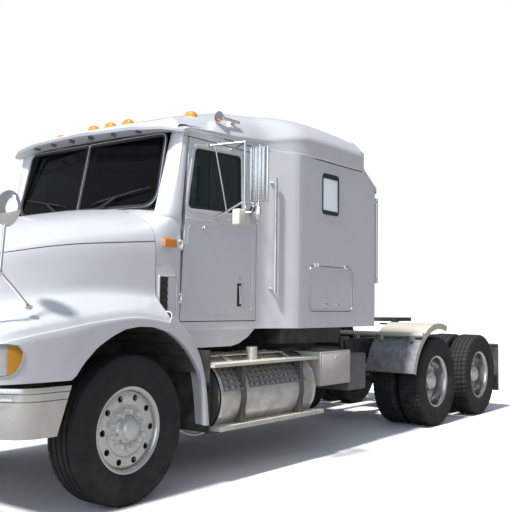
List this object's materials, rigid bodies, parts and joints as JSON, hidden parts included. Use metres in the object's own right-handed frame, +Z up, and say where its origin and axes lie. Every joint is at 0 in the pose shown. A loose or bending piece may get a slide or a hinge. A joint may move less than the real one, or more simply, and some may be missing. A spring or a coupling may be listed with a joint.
{
  "type": "semi truck tractor unit",
  "caption": "Long-nosed road tractor with raised-roof sleeper, tilting hood, hinged doors, steered front wheels, twin drive wheels and a fifth wheel coupling.",
  "frame": {"origin": "on the ground under the middle of the length and width", "axes": "+X forward, +Y to the vehicle's left, +Z up"},
  "size_m": [8.195, 2.92, 3.172],
  "materials": {
    "paint": "silver grey metallic paint",
    "chrome": "polished",
    "alloy": "brushed",
    "frame": "dull black",
    "cast": "dull",
    "tyre": "dull",
    "rubber": "dull",
    "glass": "tinted",
    "lens_clear": "clear",
    "lens_amber": "clear",
    "lens_red": "clear",
    "trim": "grained",
    "cloth": "woven"
  },
  "bodies": {
    "chassis": {"frame_rails": "frame", "crossmembers": "frame", "front_bumper": "chrome", "engine_block": "cast", "radiator": "cast", "axles": "cast", "suspension": "frame", "fuel_tanks": "alloy", "tank_steps": "alloy", "side_boxes": "alloy", "deck_plate": "alloy", "fifth_wheel_base": "frame", "rear_fenders": "alloy", "mud_flaps": "rubber", "tail_lamps": "lens_red", "cab_floor": "frame", "cowl": "paint", "cab_sides": "paint", "cab_roof": "paint", "cab_glass": "glass", "sleeper_sides": "paint", "sleeper_back": "paint", "sleeper_roof": "paint", "sun_visor": "paint", "marker_lamps": "lens_amber", "air_horns": "chrome", "dashboard": "trim", "seats": "cloth", "bunk": "cloth", "grab_rails": "chrome"},
    "hood": {"hood_shell": "paint", "front_fenders": "paint", "grille": "chrome", "headlamps": "lens_clear", "hood_mirrors": "chrome"},
    "steering_wheel": {"steering_wheel": "trim"},
    "fifth_wheel_plate": {"fifth_wheel_plate": "frame"},
    "knuckle_left": {"knuckle_left": "cast"},
    "front_wheel_left": {"front_rim_left": "alloy", "front_tyre_left": "tyre"},
    "drive_wheel_1_left": {"drive_rims_1_left": "alloy", "drive_tyres_1_left": "tyre"},
    "drive_wheel_2_left": {"drive_rims_2_left": "alloy", "drive_tyres_2_left": "tyre"},
    "door_left": {"door_left": "paint", "door_glass_left": "glass", "door_mirror_left": "chrome"},
    "luggage_door_left": {"luggage_door_left": "paint"},
    "knuckle_right": {"knuckle_right": "cast"},
    "front_wheel_right": {"front_rim_right": "alloy", "front_tyre_right": "tyre"},
    "drive_wheel_1_right": {"drive_rims_1_right": "alloy", "drive_tyres_1_right": "tyre"},
    "drive_wheel_2_right": {"drive_rims_2_right": "alloy", "drive_tyres_2_right": "tyre"},
    "door_right": {"door_right": "paint", "door_glass_right": "glass", "door_mirror_right": "chrome"},
    "luggage_door_right": {"luggage_door_right": "paint"}
  },
  "joints": [
    {"name": "hood_tilt", "type": "hinge", "parent": "chassis", "child": "hood", "pos_m": [4.0125, 0, 0.84], "axis": [0, 1, 0], "range_deg": [0, 60]},
    {"name": "steer_left", "type": "hinge", "parent": "chassis", "child": "knuckle_left", "pos_m": [2.8525, 0.85, 0.52], "axis": [0, 0, 1], "range_deg": [-35, 35]},
    {"name": "front_wheel_left_spin", "type": "hinge", "parent": "knuckle_left", "child": "front_wheel_left", "pos_m": [2.8525, 1.025, 0.52], "axis": [0, 1, 0], "continuous": true},
    {"name": "drive_wheel_1_left_spin", "type": "hinge", "parent": "chassis", "child": "drive_wheel_1_left", "pos_m": [-2.0635, 0.914, 0.52], "axis": [0, 1, 0], "continuous": true},
    {"name": "drive_wheel_2_left_spin", "type": "hinge", "parent": "chassis", "child": "drive_wheel_2_left", "pos_m": [-3.3835, 0.914, 0.52], "axis": [0, 1, 0], "continuous": true},
    {"name": "door_left_hinge", "type": "hinge", "parent": "chassis", "child": "door_left", "pos_m": [2.2405, 1.038, 1.72], "axis": [0, 0, -1], "range_deg": [0, 70]},
    {"name": "luggage_door_left_hinge", "type": "hinge", "parent": "chassis", "child": "luggage_door_left", "pos_m": [0.2825, 1.186, 1.76], "axis": [1, 0, 0], "range_deg": [0, 85]},
    {"name": "steer_right", "type": "hinge", "parent": "chassis", "child": "knuckle_right", "pos_m": [2.8525, -0.85, 0.52], "axis": [0, 0, 1], "range_deg": [-35, 35]},
    {"name": "front_wheel_right_spin", "type": "hinge", "parent": "knuckle_right", "child": "front_wheel_right", "pos_m": [2.8525, -1.025, 0.52], "axis": [0, 1, 0], "continuous": true},
    {"name": "drive_wheel_1_right_spin", "type": "hinge", "parent": "chassis", "child": "drive_wheel_1_right", "pos_m": [-2.0635, -0.914, 0.52], "axis": [0, 1, 0], "continuous": true},
    {"name": "drive_wheel_2_right_spin", "type": "hinge", "parent": "chassis", "child": "drive_wheel_2_right", "pos_m": [-3.3835, -0.914, 0.52], "axis": [0, 1, 0], "continuous": true},
    {"name": "door_right_hinge", "type": "hinge", "parent": "chassis", "child": "door_right", "pos_m": [2.2405, -1.038, 1.72], "axis": [0, 0, 1], "range_deg": [0, 70]},
    {"name": "luggage_door_right_hinge", "type": "hinge", "parent": "chassis", "child": "luggage_door_right", "pos_m": [0.2825, -1.186, 1.76], "axis": [-1, 0, 0], "range_deg": [0, 85]},
    {"name": "steering_wheel_turn", "type": "hinge", "parent": "chassis", "child": "steering_wheel", "pos_m": [1.8425, 0.5, 2.03], "axis": [-0.6428, 0, 0.766], "range_deg": [-720, 720]},
    {"name": "fifth_wheel_tilt", "type": "hinge", "parent": "chassis", "child": "fifth_wheel_plate", "pos_m": [-2.5975, 0, 1.165], "axis": [0, 1, 0], "range_deg": [-12, 12]}
  ],
  "couplings": [
    {"joint": "steer_right", "follows": "steer_left", "ratio": 1},
    {"joint": "steering_wheel_turn", "follows": "steer_left", "ratio": 18}
  ]
}
